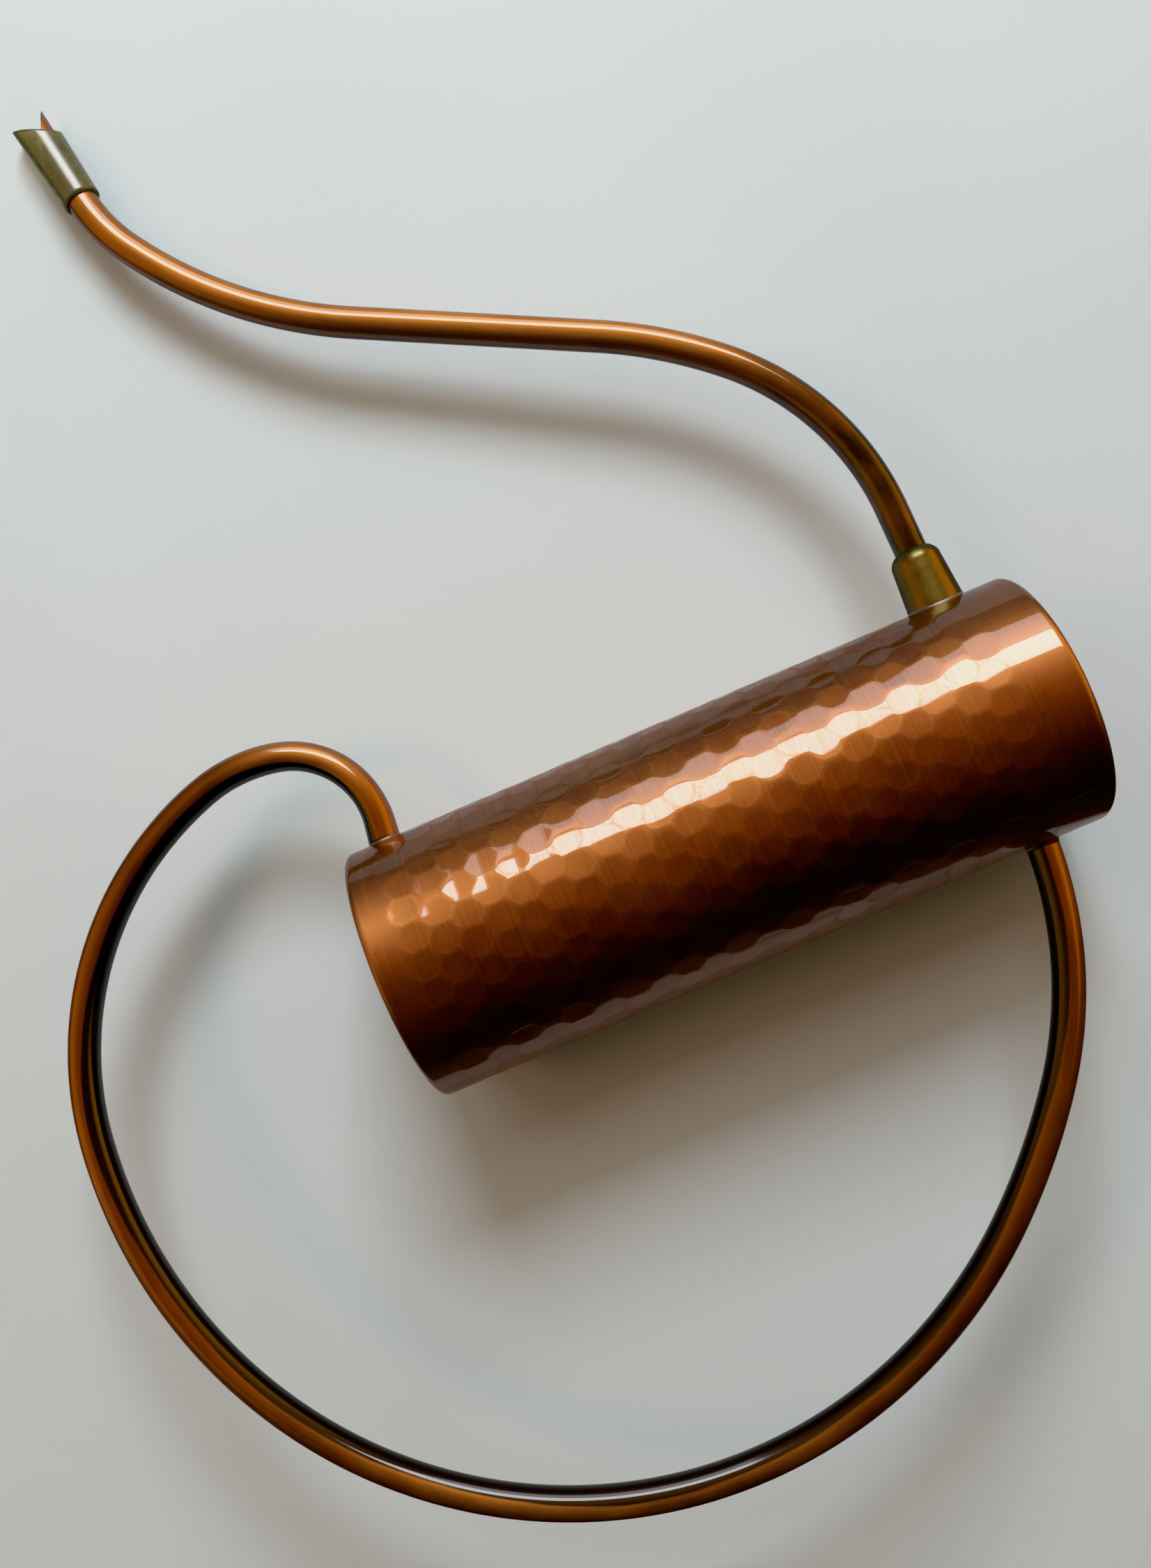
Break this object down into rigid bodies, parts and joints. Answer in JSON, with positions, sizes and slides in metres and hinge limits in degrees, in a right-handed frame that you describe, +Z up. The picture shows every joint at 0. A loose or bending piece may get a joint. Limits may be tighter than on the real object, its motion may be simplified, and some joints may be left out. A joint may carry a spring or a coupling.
{
  "type": "watering can",
  "caption": "Indoor watering can: tall hammered copper cylinder with a big looped tube handle, a swan-neck spout in a brass ferrule and a sleeve on the spout's cut tip.",
  "frame": {"origin": "centre of the flat base, in its plane", "axes": "+Z up along the cylinder to the mouth, +X forward to the spout, Y across, with XZ the plane of symmetry"},
  "size_m": [0.4774, 0.078, 0.3224],
  "materials": {
    "hammered_copper": "lacquered copper, hammered in shallow round dents over fine brush lines",
    "base_copper": "plain lacquered copper with fine turning lines",
    "tube_copper": "drawn copper tube, satin to bright, lightly drawn lines",
    "aged_brass": "aged brass, satin, slightly olive",
    "solder": "bright silver-grey solder",
    "sleeve_plastic": "soft translucent olive plastic"
  },
  "bodies": {
    "can": {"body_shell": "hammered_copper", "base_plate": "base_copper", "base_solder_seam": "solder", "handle_tube": "tube_copper", "handle_front_solder": "solder", "handle_rear_solder": "solder", "spout_tube": "tube_copper", "spout_ferrule": "aged_brass", "ferrule_solder": "solder", "spout_port_solder": "solder"},
    "sleeve": {"tip_sleeve": "sleeve_plastic"}
  },
  "joints": [
    {"name": "sleeve_pull", "type": "slide", "parent": "can", "child": "sleeve", "axis": [0.9829, 0, 0.184], "range_m": [0, 0.045]}
  ]
}
